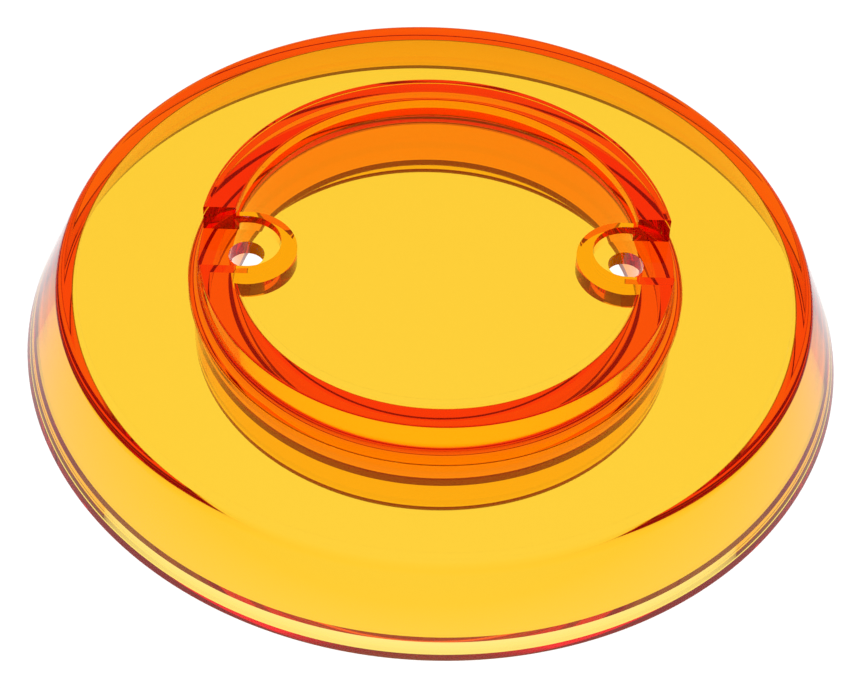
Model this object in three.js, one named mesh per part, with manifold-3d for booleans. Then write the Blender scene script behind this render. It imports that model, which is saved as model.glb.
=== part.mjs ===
// Clear amber lamp cap: a shallow round cover with a central collar, a window flush with the collar's rim and
// two sunken cups for the screws that hold it down. All of it is transparent plastic.
// Units are millimetres. +Z is up, and the origin is the centre of the plane that the cap rests on.
// The two screw holes lie on the X axis, and the raised half of the collar's rim is on the +Y side.

import * as THREE from 'three';
import { mergeVertices } from 'three/addons/utils/BufferGeometryUtils.js';
import Module from 'manifold-3d';

// Driving dimensions.
const OVERALL_RADIUS = 47.5;        // outside of the skirt where it rests
const WALL = 2.0;                   // general thickness of the moulding
const BOND = 0.05;                  // bond line between neighbouring sections

// Cover plate and skirt.
const PLATE_TOP = 10.6;
const PLATE_RADIUS = 41.2;          // where the flat plate meets the skirt's section
const BEND_RADIUS = 1.2;            // rounding where the plate turns down into the skirt
const SKIRT_WALL = 2.4;             // measured level
const SKIRT_LEAN = 21.5;            // degrees away from upright
const FOOT_WIDTH = 1.33;            // the skirt narrows to this foot, below a small inside step
const STEP_INNER_HEIGHT = 1.2;
const STEP_OUTER_HEIGHT = 1.6;

// Central collar.
const COLLAR_TOP_RADIUS = 27.25;    // outside, at the rim
const FOOT_FILLET = 1.2;            // rounding where the collar meets the plate
const COLLAR_FOOT_RADIUS = 28.5;    // where that rounding ends on the plate
const COLLAR_BORE = 23.6;
const RIM_TOP = 14.4;               // the lower half of the rim, flush with the window
const RAISED_RIM_TOP = 15.7;
const RAISED_RIM_BORE = 23.5;

// Below the plate: a ring that seats on the lamp holder, and a sleeve round it that centres the cap.
const SEAT_HEIGHT = 3.5;
const SEAT_EDGE = 0.6;              // rounding inside the seat
const SLEEVE_BORE = 26.1;
const SLEEVE_EDGE = 0.5;            // rounding of both lower edges
const SLEEVE_TOP_RADIUS = 28.1;
const SLEEVE_FOOT_RADIUS = 28.0;

// Window and screw cups.
const SCREW_SPACING = 43.6;
const SCREW_HOLE_RADIUS = 2.1;      // clearance for a 4 mm screw
const SCREW_FLOOR = 12.2;           // where the screw's head seats
const SCREW_RECESS_RADIUS = 4.0;    // also half the width of the slot that runs out through the rim
const CUP_RADIUS = 5.8;
const CUP_BOTTOM = 10.3;
const CUP_REACH = 24.8;             // how far a cup runs into the collar, from the cap's centre

// Facets around the main circles and around the screw holes.
const ROUND_FACETS = 96;
const HOLE_FACETS = 32;

const wasm = await Module();
wasm.setup();

function clearAmber(name, color, roughness) {
  return new THREE.MeshStandardMaterial({ name, color, roughness, metalness: 0 });
}

function piece(name, geometry, color, roughness = 0.08) {
  const mesh = new THREE.Mesh(geometry, clearAmber(`${name}_amber`, color, roughness));
  mesh.name = name;
  return mesh;
}

// A closed section, given as [radius, height] points in anticlockwise order, turned about Z.
function turned(section, facets = ROUND_FACETS) {
  const closed = [...section, section[0]].map(([radius, height]) => new THREE.Vector2(radius, height));
  return new THREE.LatheGeometry(closed, facets).rotateX(Math.PI / 2);
}

function ringSection(innerRadius, outerRadius, bottom, top) {
  return [[innerRadius, bottom], [outerRadius, bottom], [outerRadius, top], [innerRadius, top]];
}

// Points of a circular arc, by angle in degrees, with 0 pointing away from the axis and 90 up.
function rounding([radius, height], size, from, to, steps = 4) {
  return Array.from({ length: steps + 1 }, (_, step) => {
    const angle = THREE.MathUtils.degToRad(from + (to - from) * step / steps);
    return [radius + size * Math.cos(angle), height + size * Math.sin(angle)];
  });
}

// A solid round bar standing on Z, centred on (x, 0).
function bar(radius, bottom, top, x = 0, facets = ROUND_FACETS) {
  const outline = new THREE.Shape().absarc(0, 0, radius, 0, 2 * Math.PI, false);
  const geometry = new THREE.ExtrudeGeometry(outline, {
    depth: top - bottom, bevelEnabled: false, curveSegments: facets,
  });
  return geometry.translate(x, 0, bottom);
}

function toSolid(geometry) {
  const bare = geometry.clone();
  bare.deleteAttribute('normal');
  bare.deleteAttribute('uv');
  const merged = mergeVertices(bare, 1e-4);
  return new wasm.Manifold(new wasm.Mesh({
    numProp: 3,
    vertProperties: new Float32Array(merged.attributes.position.array),
    triVerts: new Uint32Array(merged.index.array),
  }));
}

function toGeometry(solid) {
  const { vertProperties, triVerts } = solid.getMesh();
  const geometry = new THREE.BufferGeometry();
  geometry.setAttribute('position', new THREE.BufferAttribute(vertProperties, 3));
  geometry.setIndex(new THREE.BufferAttribute(triVerts, 1));
  geometry.computeVertexNormals();
  return geometry;
}

// The flat annular plate between the collar and the skirt.
function coverPlate() {
  return turned(ringSection(COLLAR_FOOT_RADIUS + BOND, PLATE_RADIUS - BOND, PLATE_TOP - WALL, PLATE_TOP));
}

// The flared skirt. It bends out of the plate, leans outwards and ends on a flat foot with a step inside it.
function outerSkirt() {
  const slope = Math.tan(THREE.MathUtils.degToRad(SKIRT_LEAN));
  const outerAt = (height) => OVERALL_RADIUS - height * slope;
  const bendReach = BEND_RADIUS * Math.tan(THREE.MathUtils.degToRad((90 - SKIRT_LEAN) / 2));
  const centre = [outerAt(PLATE_TOP) - bendReach, PLATE_TOP - BEND_RADIUS];
  const under = PLATE_TOP - WALL;
  return turned([
    [PLATE_RADIUS, under],
    [outerAt(under) - SKIRT_WALL, under],
    [outerAt(STEP_INNER_HEIGHT) - SKIRT_WALL, STEP_INNER_HEIGHT],
    [OVERALL_RADIUS - FOOT_WIDTH, STEP_OUTER_HEIGHT],
    [OVERALL_RADIUS - FOOT_WIDTH, 0],
    [OVERALL_RADIUS, 0],
    ...rounding(centre, BEND_RADIUS, SKIRT_LEAN, 90),
    [PLATE_RADIUS, PLATE_TOP],
  ]);
}

// A block over the cups' slots: each slot runs from the hole's axis out through the rim.
function slotCutter(side) {
  const reach = OVERALL_RADIUS - SCREW_SPACING / 2;
  const block = new THREE.BoxGeometry(reach, 2 * SCREW_RECESS_RADIUS, OVERALL_RADIUS);
  const x = side * (SCREW_SPACING + reach) / 2;
  return toSolid(block.translate(x, 0, SCREW_FLOOR + OVERALL_RADIUS / 2));
}

// What one screw takes away: its hole, the round recess for its head and the slot.
function screwRoom(side) {
  const x = side * SCREW_SPACING / 2;
  const hole = toSolid(bar(SCREW_HOLE_RADIUS, -1, RAISED_RIM_TOP, x, HOLE_FACETS));
  const recess = toSolid(bar(SCREW_RECESS_RADIUS, SCREW_FLOOR, OVERALL_RADIUS, x, HOLE_FACETS));
  return hole.add(recess).add(slotCutter(side));
}

// The block that a cup is cut from, grown by the bond line to make the pocket that it sits in.
function cupBlock(side, growth = 0) {
  const x = side * SCREW_SPACING / 2;
  const block = toSolid(bar(CUP_RADIUS + growth, CUP_BOTTOM - growth, RIM_TOP + growth, x, HOLE_FACETS));
  return block.intersect(toSolid(bar(CUP_REACH + growth, 0, OVERALL_RADIUS)));
}

function screwCup(side) {
  return toGeometry(cupBlock(side).subtract(screwRoom(side)));
}

// Collar from the plate up to the lower rim, with a pocket and a slot for each cup.
function upperCollar() {
  const centre = [COLLAR_FOOT_RADIUS, PLATE_TOP + FOOT_FILLET];
  let ring = toSolid(turned([
    [COLLAR_BORE, PLATE_TOP - WALL],
    [COLLAR_FOOT_RADIUS, PLATE_TOP - WALL],
    ...rounding(centre, FOOT_FILLET, 270, 180),
    [COLLAR_TOP_RADIUS, RIM_TOP],
    [COLLAR_BORE, RIM_TOP],
  ]));
  for (const side of [-1, 1]) {
    ring = ring.subtract(cupBlock(side, BOND)).subtract(screwRoom(side));
  }
  return toGeometry(ring);
}

// The higher half of the rim. Its flat ends line up with the sides of the two slots.
function raisedHalfRim() {
  const section = ringSection(RAISED_RIM_BORE, COLLAR_TOP_RADIUS, RIM_TOP + BOND, RAISED_RIM_TOP);
  const reach = 2 * OVERALL_RADIUS;
  const lowerHalf = new THREE.BoxGeometry(2 * reach, reach, reach);
  lowerHalf.translate(0, SCREW_RECESS_RADIUS - reach / 2, 0);
  return toGeometry(toSolid(turned(section)).subtract(toSolid(lowerHalf)));
}

// The ring below the plate whose flat underside seats on the lamp holder. Its inner edge is rounded.
function seatRing() {
  const top = PLATE_TOP - WALL - BOND;
  const centre = [COLLAR_BORE + SEAT_EDGE, SEAT_HEIGHT + SEAT_EDGE];
  return turned([
    ...rounding(centre, SEAT_EDGE, 180, 270),
    [SLEEVE_BORE - BOND, SEAT_HEIGHT],
    [SLEEVE_BORE - BOND, top],
    [COLLAR_BORE, top],
  ]);
}

// The sleeve round the seat ring. It drops past the seat to the plane that the skirt rests on.
function locatingSleeve() {
  const top = PLATE_TOP - WALL - BOND;
  return turned([
    ...rounding([SLEEVE_BORE + SLEEVE_EDGE, SLEEVE_EDGE], SLEEVE_EDGE, 180, 270),
    ...rounding([SLEEVE_FOOT_RADIUS - SLEEVE_EDGE, SLEEVE_EDGE], SLEEVE_EDGE, 270, 360),
    [SLEEVE_TOP_RADIUS, top],
    [SLEEVE_BORE, top],
  ]);
}

// Round window inside the collar, cut away where the cups stand.
function centreWindow() {
  let disc = toSolid(bar(COLLAR_BORE - BOND, RIM_TOP - WALL, RIM_TOP));
  for (const side of [-1, 1]) {
    const room = bar(CUP_RADIUS + BOND, 0, OVERALL_RADIUS, side * SCREW_SPACING / 2, HOLE_FACETS);
    disc = disc.subtract(toSolid(room));
  }
  return toGeometry(disc);
}

const lampCap = new THREE.Group();
lampCap.add(
  piece('cover_plate', coverPlate(), 0xfdd035),
  piece('outer_skirt', outerSkirt(), 0xfbc55a),
  piece('upper_collar', upperCollar(), 0xf6400c),
  piece('raised_half_rim', raisedHalfRim(), 0xf23a0a),
  piece('seat_ring', seatRing(), 0xfa9a12),
  piece('locating_sleeve', locatingSleeve(), 0xf0b020),
  piece('centre_window', centreWindow(), 0xfdd03a),
  piece('screw_cup_left', screwCup(-1), 0xfa9410),
  piece('screw_cup_right', screwCup(1), 0xfa9410),
);

export default lampCap;
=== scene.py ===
"""Clear amber lamp cap on a pale light table.

The real cap is one moulding. It is built here as nine closed pieces, one for each CAD node, with
hairline gaps that the material bridges. The builders work in millimetres, and finish_piece() scales
each mesh to metres. The overall radius and most heights come from the CAD frame. The other sizes are
the constants below.
"""

import math

import bmesh
import bpy
from mathutils import Matrix, Vector


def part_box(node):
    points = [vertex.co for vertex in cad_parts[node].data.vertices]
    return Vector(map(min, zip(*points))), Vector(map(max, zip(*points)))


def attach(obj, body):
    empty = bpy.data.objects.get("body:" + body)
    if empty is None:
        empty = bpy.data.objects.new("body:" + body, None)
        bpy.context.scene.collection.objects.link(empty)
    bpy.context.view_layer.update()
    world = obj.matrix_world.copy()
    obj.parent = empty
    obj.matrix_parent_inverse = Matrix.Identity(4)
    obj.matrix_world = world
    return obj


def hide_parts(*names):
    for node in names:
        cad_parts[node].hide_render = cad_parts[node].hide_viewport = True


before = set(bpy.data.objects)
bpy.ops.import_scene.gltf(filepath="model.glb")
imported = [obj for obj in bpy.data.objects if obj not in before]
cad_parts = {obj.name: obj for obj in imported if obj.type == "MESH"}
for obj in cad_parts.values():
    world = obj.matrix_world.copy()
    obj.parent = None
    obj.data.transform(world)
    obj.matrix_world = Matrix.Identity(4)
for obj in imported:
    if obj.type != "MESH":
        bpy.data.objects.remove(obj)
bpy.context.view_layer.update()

# Lengths are in millimetres unless a comment says otherwise.
MM = 0.001          # one of them in metres
TURN_SEGMENTS = 360
CUP_SEGMENTS = 128
HOLE_SEGMENTS = 96
SLOT_STEPS = 64     # in the half circle at a slot's closed end
FAR = 60            # reach of a cutter that passes right through the cap


def levels(node):
    """Lowest and highest height of a CAD node, in millimetres."""
    low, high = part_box(node)
    return low.z / MM, high.z / MM


# Skirt. Its foot has a sloping step inside, above a narrow bore.
SKIRT_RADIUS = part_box("outer_skirt")[1].x / MM
SKIRT_WALL = 2.4
SKIRT_LEAN = math.radians(21.5)
OUTER_BEND = 1.2
INNER_BEND = 0.3
FOOT_WIDTH = 1.33
FOOT_EDGE = 0.2
FOOT_EDGE_INSET = 0.22      # of the rounded edge's centre, from the overall radius
FOOT_BEVEL = 0.1
STEP_INSIDE = 1.2
STEP_OUTSIDE = 1.6
BORE_LEAN = math.radians(10)

# Cover plate, from the collar's foot to the skirt.
PLATE_BOTTOM, PLATE_TOP = levels("cover_plate")
PLATE_SPLIT = 41.2
COLLAR_FOOT = 28.5

# Collar and the raised half of its rim.
_, RIM_TOP = levels("upper_collar")
_, RAISED_TOP = levels("raised_half_rim")
RIM_RADIUS = 27.25
RIM_EDGE = 0.2
RAISED_BORE = 23.5
FOOT_FILLET = 1.2

# Window, and the lip of the collar that holds it.
WINDOW_BOTTOM, _ = levels("centre_window")
LIP_BORE = 23.3
LIP_FILLET = 0.3

# Seat ring, and the sleeve round it.
SEAT_HEIGHT, _ = levels("seat_ring")
RING_BORE = 23.6
SEAT_EDGE = 0.6
SLEEVE_BORE = 26.1
SLEEVE_RADIUS = 28.1
SLEEVE_DRAFT = 0.1
SLEEVE_EDGE = 0.5
UNDER_FILLET = 0.5

# Screw cups.
CUP_BOTTOM, _ = levels("screw_cup_right")
CUP_RADIUS = 5.8
CUP_REACH = 24.8    # how far a cup runs into the collar, from the cap's axis
HOLE_X = 21.8
HOLE_RADIUS = 2.05
RECESS_RADIUS = 4.0
RECESS_FLOOR = 12.2
SLOT_REACH = 15
OVERSHOOT = 5       # how far a cutter stands clear above or below what it cuts

# Each piece stops GAP short of a joint. A face within TOUCH of the joint counts as joined, apart from a
# margin of EDGE at its ends.
GAP = 0.003
TOUCH = 0.008
EDGE = 0.002
SHARP_ANGLE = math.radians(32)      # edges that turn more than this stay sharp

# Light table and room. These lengths are in metres.
TABLE_RADIUS = 12
TABLE_SEGMENTS = 96
TABLE_DROP = 0.0002                 # how far the table lies below the foot
LIT_RADIUS, DARK_RADIUS = 0.049, 0.085
TABLE_LIGHT, FADED_LIGHT = 1.08, 0.12
WHITE = (1, 1, 1, 1)
HORIZON = (0.4, 0.3, 0.2, 1)
CEILING = (0.22, 0.12, 0.06, 1)


# ---- geometry ----

def arc(radius, height, size, start, end, steps=8):
    """Points of a circular arc in a section, by angle in degrees: 0 points away from the axis and 90 up."""
    angles = [math.radians(start + (end - start) * i / steps) for i in range(steps + 1)]
    return [(radius + size * math.cos(a), height + size * math.sin(a)) for a in angles]


def circle(radius, segments, x=0.0):
    """Points of a circle centred on (x, 0)."""
    turns = [2 * math.pi * i / segments for i in range(segments)]
    return [(x + radius * math.cos(t), radius * math.sin(t)) for t in turns]


def add_mesh(name, bm):
    """A new object from the mesh being built, with its faces pointing out."""
    bmesh.ops.recalc_face_normals(bm, faces=bm.faces)
    mesh = bpy.data.meshes.new(name)
    bm.to_mesh(mesh)
    bm.free()
    piece = bpy.data.objects.new(name, mesh)
    bpy.context.scene.collection.objects.link(piece)
    return piece


def skinned(name, rings, closed):
    """Joins each ring of points to the next. The last joins the first, or else a face caps each end."""
    bm = bmesh.new()
    rings = [[bm.verts.new(point) for point in ring] for ring in rings]
    following = rings[1:] + rings[:1] if closed else rings[1:]
    if not closed:
        bm.faces.new(rings[0])
        bm.faces.new(rings[-1])
    for low, high in zip(rings, following):
        for i in range(len(low)):
            j = (i + 1) % len(low)
            bm.faces.new([low[i], low[j], high[j], high[i]])
    return add_mesh(name, bm)


def turned(name, section):
    """A closed section of (radius, height) points, turned about the cap's axis."""
    rings = []
    for radius, height in section:
        rings.append([(x, y, height) for x, y in circle(radius, TURN_SEGMENTS)])
    return skinned(name, rings, closed=True)


def extruded(name, outline, bottom, top):
    """A flat outline of (x, y) points, raised from bottom to top."""
    rings = [[(x, y, height) for x, y in outline] for height in (bottom, top)]
    return skinned(name, rings, closed=False)


def cut(piece, *tools):
    """Takes each tool away from the piece, and then throws the tool away."""
    for tool in tools:
        modifier = piece.modifiers.new("cut", "BOOLEAN")
        modifier.operation, modifier.object, modifier.solver = "DIFFERENCE", tool, "EXACT"
        bpy.context.view_layer.update()
        shaped = piece.evaluated_get(bpy.context.evaluated_depsgraph_get())
        result = bpy.data.meshes.new_from_object(shaped)
        piece.modifiers.clear()
        result.name = piece.name
        piece.data = result
        bpy.data.objects.remove(tool)
    return piece


# ---- the nine pieces ----

def screw_tools(side):
    """What one screw takes away: its hole, and a slot from round the hole out through the rim."""
    x = side * HOLE_X
    above = RAISED_TOP + OVERSHOOT
    turns = [math.radians(90 + 180 * i / SLOT_STEPS) for i in range(SLOT_STEPS + 1)]
    outline = [(x + side * RECESS_RADIUS * math.cos(t), RECESS_RADIUS * math.sin(t)) for t in turns]
    outline += [(x + side * SLOT_REACH, -RECESS_RADIUS), (x + side * SLOT_REACH, RECESS_RADIUS)]
    return [
        extruded("slot", outline, RECESS_FLOOR, above),
        extruded("hole", circle(HOLE_RADIUS, HOLE_SEGMENTS, x), -OVERSHOOT, above),
    ]


def cup_block(name, side, growth=0.0):
    """The plain block of a cup. Grown by the gap and raised, it cuts the cup's pocket in the collar."""
    top = RIM_TOP + OVERSHOOT if growth else RIM_TOP
    reach = CUP_REACH + growth
    outline = circle(CUP_RADIUS + growth, CUP_SEGMENTS, side * HOLE_X)
    block = extruded(name, outline, CUP_BOTTOM - growth, top)
    beyond = [(reach, -OVERSHOOT), (FAR, -OVERSHOOT), (FAR, FAR), (reach, FAR)]
    return cut(block, turned("beyond", beyond))


def screw_cup(name, side):
    """A sunken cup, on the left for side -1 and on the right for 1."""
    return cut(cup_block(name, side), *screw_tools(side))


def cover_plate(name):
    inner, outer = COLLAR_FOOT + GAP, PLATE_SPLIT - GAP
    return turned(name, [
        (inner, PLATE_BOTTOM), (outer, PLATE_BOTTOM),
        (outer, PLATE_TOP), (inner, PLATE_TOP),
    ])


def outer_skirt(name):
    """A flared wall that bends smoothly out of the plate and ends on a flat foot."""
    inner = PLATE_SPLIT + GAP
    slope = math.tan(SKIRT_LEAN)
    lean = math.degrees(SKIRT_LEAN)
    bend = math.tan((math.pi / 2 - SKIRT_LEAN) / 2)
    outer_corner = SKIRT_RADIUS - PLATE_TOP * slope
    inner_corner = SKIRT_RADIUS - PLATE_BOTTOM * slope - SKIRT_WALL
    foot_bore = SKIRT_RADIUS - FOOT_WIDTH
    return turned(name, [
        (inner, PLATE_BOTTOM),
        *arc(inner_corner - INNER_BEND * bend, PLATE_BOTTOM - INNER_BEND, INNER_BEND, 90, lean),
        (SKIRT_RADIUS - SKIRT_WALL - STEP_INSIDE * slope, STEP_INSIDE),
        (foot_bore - STEP_OUTSIDE * math.tan(BORE_LEAN), STEP_OUTSIDE),
        (foot_bore, FOOT_BEVEL),
        (foot_bore + FOOT_BEVEL, 0),
        *arc(SKIRT_RADIUS - FOOT_EDGE_INSET, FOOT_EDGE, FOOT_EDGE, 270, 360 + lean),
        *arc(outer_corner - OUTER_BEND * bend, PLATE_TOP - OUTER_BEND, OUTER_BEND, lean, 90, 12),
        (inner, PLATE_TOP),
    ])


def upper_collar(name):
    """The collar above the plate's underside, with a pocket and a slot for each cup."""
    foot = COLLAR_FOOT - GAP
    lip = LIP_BORE + GAP
    collar = turned(name, [
        (RING_BORE, PLATE_BOTTOM + GAP),
        (foot, PLATE_BOTTOM + GAP),
        *arc(foot, PLATE_TOP + FOOT_FILLET, FOOT_FILLET, 270, 180),
        *arc(RIM_RADIUS - RIM_EDGE, RIM_TOP - RIM_EDGE, RIM_EDGE, 0, 90, 5),
        (lip, RIM_TOP),
        (lip, WINDOW_BOTTOM),
        *arc(RING_BORE - LIP_FILLET, WINDOW_BOTTOM - LIP_FILLET, LIP_FILLET, 90, 0, 5),
    ])
    for side in (-1, 1):
        cut(collar, cup_block("pocket", side, GAP), *screw_tools(side))
    return collar


def raised_half_rim(name):
    rim = turned(name, [
        (RAISED_BORE, RIM_TOP + GAP),
        (RIM_RADIUS, RIM_TOP + GAP),
        *arc(RIM_RADIUS - RIM_EDGE, RAISED_TOP - RIM_EDGE, RIM_EDGE, 0, 90, 5),
        *arc(RAISED_BORE + RIM_EDGE, RAISED_TOP - RIM_EDGE, RIM_EDGE, 90, 180, 5),
    ])
    near_half = [(-FAR, -FAR), (FAR, -FAR), (FAR, RECESS_RADIUS), (-FAR, RECESS_RADIUS)]
    return cut(rim, extruded("near_half", near_half, 0, FAR))


def seat_ring(name):
    outer, top = SLEEVE_BORE - GAP, PLATE_BOTTOM - GAP
    return turned(name, [
        *arc(RING_BORE + SEAT_EDGE, SEAT_HEIGHT + SEAT_EDGE, SEAT_EDGE, 180, 270, 12),
        (outer, SEAT_HEIGHT), (outer, top), (RING_BORE, top),
    ])


def locating_sleeve(name):
    top = PLATE_BOTTOM - GAP
    foot_radius = SLEEVE_RADIUS - SLEEVE_DRAFT
    return turned(name, [
        *arc(SLEEVE_BORE + SLEEVE_EDGE, SLEEVE_EDGE, SLEEVE_EDGE, 180, 270),
        *arc(foot_radius - SLEEVE_EDGE, SLEEVE_EDGE, SLEEVE_EDGE, 270, 360),
        *arc(SLEEVE_RADIUS + UNDER_FILLET, top - UNDER_FILLET, UNDER_FILLET, 180, 95),
        (SLEEVE_BORE, top), (SLEEVE_BORE, SEAT_HEIGHT),
    ])


def centre_window(name):
    window = extruded(name, circle(LIP_BORE - GAP, TURN_SEGMENTS), WINDOW_BOTTOM, RIM_TOP)
    rooms = [circle(CUP_RADIUS + GAP, CUP_SEGMENTS, side * HOLE_X) for side in (-1, 1)]
    return cut(window, *(extruded("room", room, 0, FAR) for room in rooms))


# ---- materials ----

class Nodes:
    """A node tree that starts empty, with shader arithmetic written as plain calls."""

    def __init__(self, owner):
        owner.use_nodes = True
        self.tree = owner.node_tree
        self.tree.nodes.clear()

    def add(self, kind, **inputs):
        node = self.tree.nodes.new(kind)
        for name, value in inputs.items():
            self.feed(node.inputs[name.replace("_", " ")], value)
        return node

    def feed(self, socket, value):
        if isinstance(value, bpy.types.NodeSocket):
            self.tree.links.new(value, socket)
        else:
            socket.default_value = value

    def mix(self, factor, first, second):
        """The first shader where the factor is 0, and the second where it is 1."""
        node = self.add("ShaderNodeMixShader", Fac=factor)
        self.feed(node.inputs[1], first.outputs[0])
        self.feed(node.inputs[2], second.outputs[0])
        return node.outputs[0]

    def math(self, operation, a, b=0.0, c=0.0):
        node = self.tree.nodes.new("ShaderNodeMath")
        node.operation = operation
        for socket, value in zip(node.inputs, (a, b, c)):
            self.feed(socket, value)
        return node.outputs[0]

    def length(self, a, b):
        return self.math("SQRT", self.math("MULTIPLY_ADD", a, a, self.math("MULTIPLY", b, b)))

    def near(self, value, target):
        return self.math("COMPARE", value, target, TOUCH)

    def between(self, value, low, high):
        return self.math("COMPARE", value, (low + high) / 2, (high - low) / 2)

    def fold(self, operation, tests):
        result = tests[0]
        for test in tests[1:]:
            result = self.math(operation, result, test)
        return result

    def all(self, *tests):
        return self.fold("MULTIPLY", tests)

    def any(self, *tests):
        return self.fold("MAXIMUM", tests)


def joined_faces(nodes):
    """1 where two pieces meet. There the plastic is continuous, so light must cross without bending."""
    point = nodes.add("ShaderNodeTexCoord").outputs["Object"]
    axes = nodes.add("ShaderNodeSeparateXYZ", Vector=point).outputs
    x, y, z = (nodes.math("DIVIDE", axis, MM) for axis in axes)
    radius = nodes.length(x, y)
    from_hole = nodes.length(nodes.math("SUBTRACT", nodes.math("ABSOLUTE", x), HOLE_X), y)
    in_cup = nodes.between(from_hole, -1, CUP_RADIUS + TOUCH)
    in_wall = nodes.between(radius, RING_BORE, CUP_REACH + TOUCH)
    beside_plate = nodes.between(z, PLATE_BOTTOM + EDGE, PLATE_TOP - EDGE)
    beside_window = nodes.between(z, WINDOW_BOTTOM + EDGE, RIM_TOP - EDGE)
    beside_cup = nodes.between(z, CUP_BOTTOM - TOUCH, RIM_TOP - EDGE)
    under_plate = nodes.between(radius, RING_BORE, COLLAR_FOOT - GAP)
    above_seat = nodes.between(z, SEAT_HEIGHT + EDGE, PLATE_BOTTOM)
    under_raised_rim = nodes.all(
        nodes.between(y, RECESS_RADIUS, FAR),
        nodes.between(radius, RAISED_BORE - EDGE, RIM_RADIUS + EDGE),
    )
    return nodes.any(
        nodes.all(nodes.near(radius, COLLAR_FOOT), beside_plate),
        nodes.all(nodes.near(radius, PLATE_SPLIT), beside_plate),
        nodes.all(nodes.near(z, PLATE_BOTTOM), under_plate),
        nodes.all(nodes.near(radius, SLEEVE_BORE), above_seat),
        nodes.all(nodes.near(radius, LIP_BORE), beside_window),
        nodes.all(nodes.near(from_hole, CUP_RADIUS), beside_window),
        nodes.all(nodes.near(from_hole, CUP_RADIUS), beside_cup, in_wall),
        nodes.all(nodes.near(radius, CUP_REACH), in_cup, beside_cup),
        nodes.all(nodes.near(z, CUP_BOTTOM), in_cup, in_wall),
        nodes.all(nodes.near(z, RIM_TOP), under_raised_rim),
    )


def amber_plastic(name):
    """Clear amber. The dye takes a little red, some green and nearly all blue from light on its way."""
    material = bpy.data.materials.new(name)
    nodes = Nodes(material)
    point = nodes.add("ShaderNodeTexCoord").outputs["Object"]
    waves = nodes.add("ShaderNodeTexNoise", Vector=point, Scale=140.0, Detail=2.0, Roughness=0.4)
    skin = nodes.add("ShaderNodeBump", Strength=0.02, Distance=0.00002, Height=waves.outputs["Fac"])
    glass = nodes.add("ShaderNodeBsdfGlass", Color=WHITE, Roughness=0.0, IOR=1.49, Normal=skin.outputs[0])
    through = nodes.add("ShaderNodeBsdfTransparent", Color=WHITE)
    red, green, blue = 3.8, 206.0, 1432.0       # absorption, per metre
    passed = (1 - red / blue, 1 - green / blue, 0, 1)
    dye = nodes.add("ShaderNodeVolumeAbsorption", Density=blue, Color=passed)
    surface = nodes.mix(joined_faces(nodes), glass, through)
    nodes.add("ShaderNodeOutputMaterial", Surface=surface, Volume=dye.outputs[0])
    return material


# ---- table, room and camera ----

def camera_ray(nodes):
    return nodes.add("ShaderNodeLightPath").outputs["Is Camera Ray"]


def lit_table():
    """Looks evenly lit to the camera, but its light fades away from the cap. From below it is clear."""
    material = bpy.data.materials.new("lit_table")
    nodes = Nodes(material)
    point = nodes.add("ShaderNodeTexCoord").outputs["Object"]
    distance = nodes.add("ShaderNodeVectorMath", Vector=point)
    distance.operation = "LENGTH"
    fade = nodes.add("ShaderNodeMapRange", Value=distance.outputs["Value"], From_Min=LIT_RADIUS,
                     From_Max=DARK_RADIUS, To_Min=TABLE_LIGHT, To_Max=FADED_LIGHT)
    seen = nodes.math("MULTIPLY", camera_ray(nodes), TABLE_LIGHT)
    level = nodes.math("MAXIMUM", fade.outputs[0], seen)
    glow = nodes.add("ShaderNodeEmission", Color=WHITE, Strength=level)
    clear = nodes.add("ShaderNodeBsdfTransparent", Color=WHITE)
    from_below = nodes.add("ShaderNodeNewGeometry").outputs["Backfacing"]
    nodes.add("ShaderNodeOutputMaterial", Surface=nodes.mix(from_below, glow, clear))
    bm = bmesh.new()
    bmesh.ops.create_circle(bm, cap_ends=True, segments=TABLE_SEGMENTS, radius=TABLE_RADIUS)
    table = add_mesh("table", bm)
    table.location.z = -TABLE_DROP
    table.data.materials.append(material)


def studio():
    """A dim warm room above the table. The camera itself sees a pale backdrop in its place."""
    world = bpy.data.worlds.new("studio")
    nodes = Nodes(world)
    away = nodes.add("ShaderNodeNewGeometry").outputs["Incoming"]
    height = nodes.add("ShaderNodeSeparateXYZ", Vector=away).outputs["Z"]
    rise = nodes.math("MULTIPLY_ADD", height, -0.5, 0.5)        # 0.5 is level and 1 is straight up
    sky = nodes.add("ShaderNodeValToRGB", Fac=rise)
    horizon, ceiling = sky.color_ramp.elements
    horizon.position, horizon.color = 0.50, HORIZON
    ceiling.position, ceiling.color = 0.56, CEILING
    room = nodes.add("ShaderNodeBackground", Color=sky.outputs[0], Strength=1.0)
    backdrop = nodes.add("ShaderNodeBackground", Color=WHITE, Strength=1.0)
    nodes.add("ShaderNodeOutputWorld", Surface=nodes.mix(camera_ray(nodes), room, backdrop))
    bpy.context.scene.world = world


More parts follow.
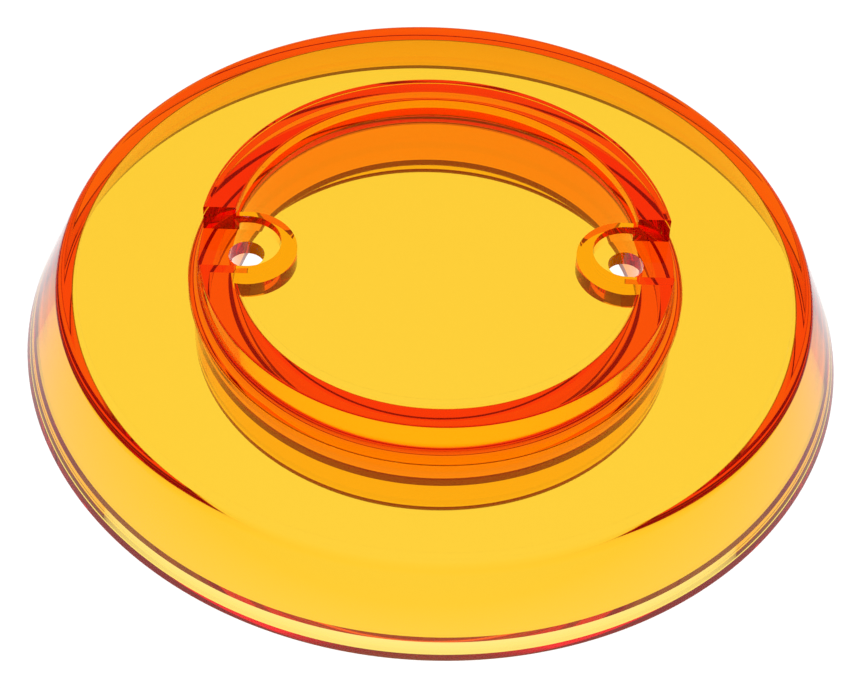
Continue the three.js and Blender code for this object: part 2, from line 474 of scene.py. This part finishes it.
def camera():
    """Looks down at 47 degrees from the side where the rim is low, with the cap turned a little."""
    tilt, roll, turn = math.radians(47.3936), math.radians(-3.3640), math.radians(-2.4)
    distance, aim_x, aim_y = 6.22513, 0.0095949, 0.0314064      # in skirt radii
    right = Vector((1, 0, 0))
    up = Vector((0, math.sin(tilt), math.cos(tilt)))
    forward = Vector((0, math.cos(tilt), -math.sin(tilt)))
    side = math.cos(roll) * right - math.sin(roll) * up
    top = math.sin(roll) * right + math.cos(roll) * up
    place = (-aim_x * side - aim_y * top - distance * forward) * SKIRT_RADIUS * MM
    data = bpy.data.cameras.new("camera")
    data.sensor_width, data.lens = 36, 104.87
    data.clip_start, data.clip_end = 0.01, 20
    view = bpy.data.objects.new("camera", data)
    axes = Matrix((side, top, -forward)).transposed().to_4x4()
    view.matrix_world = Matrix.Rotation(turn, 4, "Z") @ Matrix.Translation(place) @ axes
    bpy.context.scene.collection.objects.link(view)
    bpy.context.scene.camera = view


def light_paths():
    """Lets light bounce often enough inside the clear walls."""
    scene = bpy.context.scene
    scene.view_settings.view_transform = "Standard"
    cycles = scene.cycles
    cycles.max_bounces = cycles.transmission_bounces = cycles.glossy_bounces = 48
    cycles.transparent_max_bounces = 64
    cycles.sample_clamp_indirect = 0


# ---- assembly ----

def finish_piece(piece, material, node):
    """Scales a piece to metres, shades it smoothly between its edges, and ties it to the frame."""
    piece.data.transform(Matrix.Scale(MM, 4))
    piece.data.shade_smooth()
    piece.data.set_sharp_from_angle(angle=SHARP_ANGLE)
    piece.modifiers.new("weighted", "WEIGHTED_NORMAL").keep_sharp = True
    piece.data.materials.clear()
    piece.data.materials.append(material)
    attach(piece, "root")
    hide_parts(node)


def build_cap():
    plastics = {slot: amber_plastic("clear_" + slot) for slot in ("amber_plate", "amber_collar")}
    builders = {
        "cover_plate": (cover_plate, "amber_plate"),
        "outer_skirt": (outer_skirt, "amber_plate"),
        "upper_collar": (upper_collar, "amber_collar"),
        "raised_half_rim": (raised_half_rim, "amber_collar"),
        "seat_ring": (seat_ring, "amber_collar"),
        "locating_sleeve": (locating_sleeve, "amber_collar"),
        "centre_window": (centre_window, "amber_plate"),
        "screw_cup_left": (lambda name: screw_cup(name, -1), "amber_collar"),
        "screw_cup_right": (lambda name: screw_cup(name, 1), "amber_collar"),
    }
    for node, (build, slot) in builders.items():
        finish_piece(build("visual_" + node), plastics[slot], node)


build_cap()
lit_table()
studio()
camera()
light_paths()
